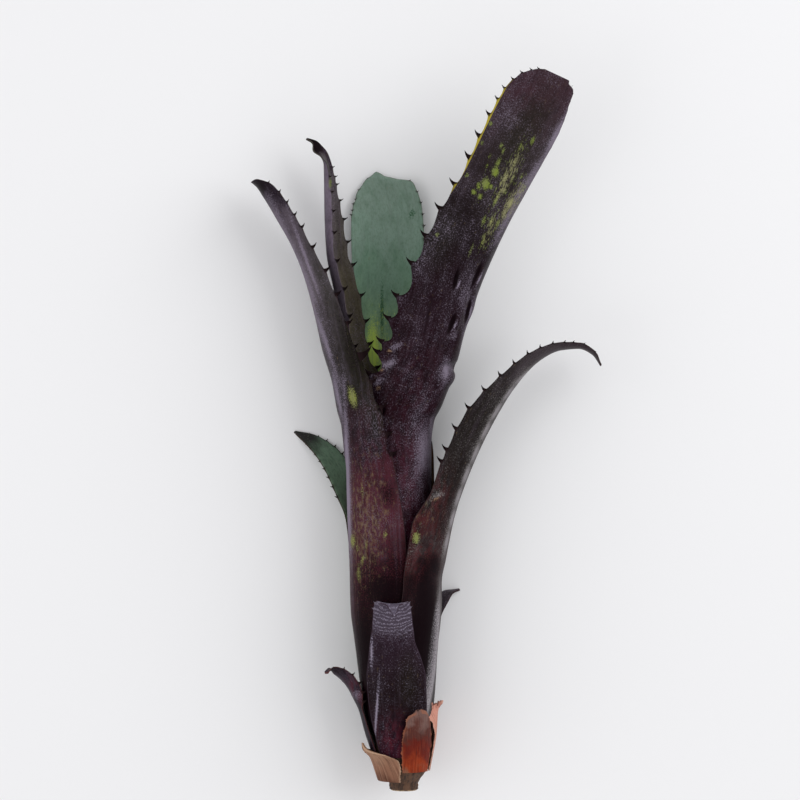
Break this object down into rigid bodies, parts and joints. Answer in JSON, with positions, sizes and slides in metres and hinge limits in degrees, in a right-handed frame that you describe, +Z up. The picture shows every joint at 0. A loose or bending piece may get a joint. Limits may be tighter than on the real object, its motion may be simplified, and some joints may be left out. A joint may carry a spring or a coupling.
{
  "type": "bromeliad pup",
  "caption": "Dark tubular bromeliad pup lying down as picked: clasping spiny leaves spread at the top, dry sheaths and a short woody stem at the foot.",
  "frame": {"origin": "on the surface that the plant lies on, under the middle of its bounding box", "axes": "+Y from the cut end of the stem to the leaf tips, +Z up from the surface, +X to the right as seen from above with the tips away"},
  "size_m": [0.14, 0.2858, 0.0498],
  "materials": {
    "leaf_left_inner": "dark purple leaf with silvery scurf",
    "leaf_back_green": "grey-green leaf, satin",
    "leaf_right_broad": "dark purple leaf with yellow-green blotches",
    "leaf_left_outer": "dark purple leaf with silvery scurf",
    "leaf_right_arching": "olive-black leaf, satin",
    "leaf_back_left": "green leaf with a dark tip",
    "leaf_back_right_stub": "purple-grey leaf, matt",
    "leaf_front_short": "maroon leaf with lilac scurf",
    "leaf_base_left": "maroon leaf, matt",
    "dry_sheath_front": "rust-brown dry scale",
    "dry_sheath_right": "tan dry scale",
    "dry_sheath_collar": "tan dry leaf bases",
    "stem": "matt woody stem"
  },
  "bodies": {
    "root": {"leaf_left_inner": "leaf_left_inner", "leaf_back_green": "leaf_back_green", "leaf_right_broad": "leaf_right_broad", "leaf_left_outer": "leaf_left_outer", "leaf_right_arching": "leaf_right_arching", "leaf_back_left": "leaf_back_left", "leaf_back_right_stub": "leaf_back_right_stub", "leaf_front_short": "leaf_front_short", "leaf_base_left": "leaf_base_left", "dry_sheath_front": "dry_sheath_front", "dry_sheath_right": "dry_sheath_right", "dry_sheath_collar": "dry_sheath_collar", "stem": "stem"}
  },
  "joints": []
}
